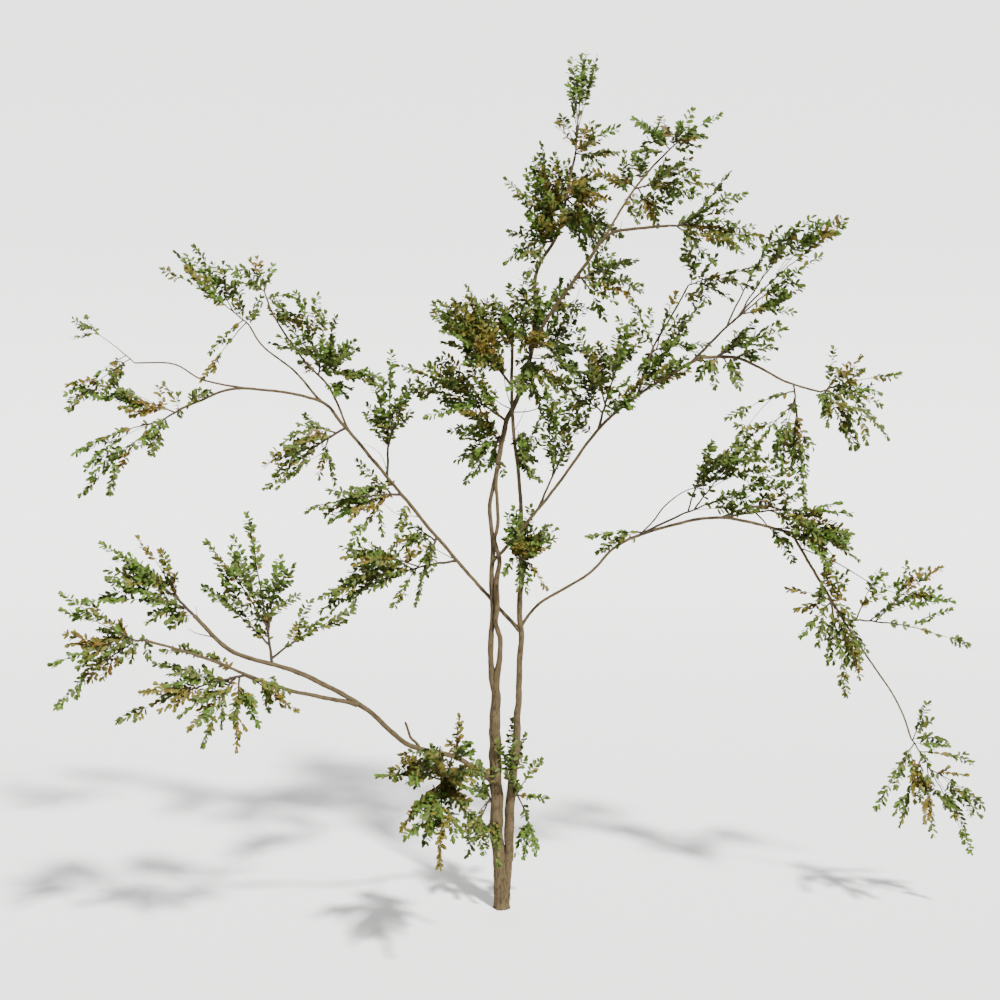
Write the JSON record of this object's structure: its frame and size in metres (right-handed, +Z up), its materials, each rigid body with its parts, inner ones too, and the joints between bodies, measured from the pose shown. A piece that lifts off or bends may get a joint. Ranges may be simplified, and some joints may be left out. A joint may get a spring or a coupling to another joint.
{
  "type": "velvet bushwillow tree",
  "caption": "Small open broadleaf tree: two close stems from one short trunk, long thin spreading and weeping boughs, loose plumes of small leaves.",
  "frame": {"origin": "centre of the flat cut under the trunk, at ground level", "axes": "+Z up, +X to the right as the picture shows the tree, +Y away from the viewer"},
  "size_m": [7.45, 2.1944, 6.87],
  "materials": {
    "bark": "rough fissured bark, warm grey-brown",
    "green_leaves": "soft satin leaves, fresh to olive green",
    "mixed_leaves": "soft satin leaves, olive green with ochre",
    "ochre_leaves": "soft satin leaves, mostly ochre"
  },
  "bodies": {
    "root": {"trunk": "bark", "left_stem": "bark", "right_stem": "bark", "leader": "bark", "high_bough": "bark", "high_arm": "bark", "upper_right_bough": "bark", "right_out_bough": "bark", "right_spur": "bark", "weeping_bough": "bark", "weeping_drop": "bark", "upper_left_bough": "bark", "far_left_bough": "bark", "left_spur": "bark", "left_inner_spur": "bark", "low_left_bough": "bark", "low_left_branch": "bark", "far_left": "green_leaves", "outer_left": "green_leaves", "left_spur_mass": "green_leaves", "left_inner": "green_leaves", "left_crest": "green_leaves", "left_back": "green_leaves", "left_under": "green_leaves", "left_hang": "mixed_leaves", "left_drop": "green_leaves", "left_curtain": "mixed_leaves", "low_fan_up": "mixed_leaves", "low_fan_out": "mixed_leaves", "low_fan_under": "mixed_leaves", "low_plume": "green_leaves", "low_hanging": "ochre_leaves", "left_sprouts": "green_leaves", "right_sprouts": "green_leaves", "stem_mass": "green_leaves", "centre_left_low": "green_leaves", "centre_low": "green_leaves", "centre_left": "mixed_leaves", "centre_left_up": "ochre_leaves", "centre_dense": "mixed_leaves", "centre_right": "green_leaves", "centre_right_low": "green_leaves", "top": "green_leaves", "top_left": "mixed_leaves", "top_mid": "ochre_leaves", "high_low": "green_leaves", "high_middle": "green_leaves", "high_top": "green_leaves", "arm_end": "green_leaves", "spur_tip": "green_leaves", "spur_mid": "green_leaves", "right_mid": "green_leaves", "right_up": "mixed_leaves", "right_out": "mixed_leaves", "right_hang": "green_leaves", "weeping_up": "green_leaves", "weeping_top": "mixed_leaves", "weeping_fork": "green_leaves", "weeping_drop_mass": "green_leaves", "weeping_end": "green_leaves"}
  },
  "joints": []
}
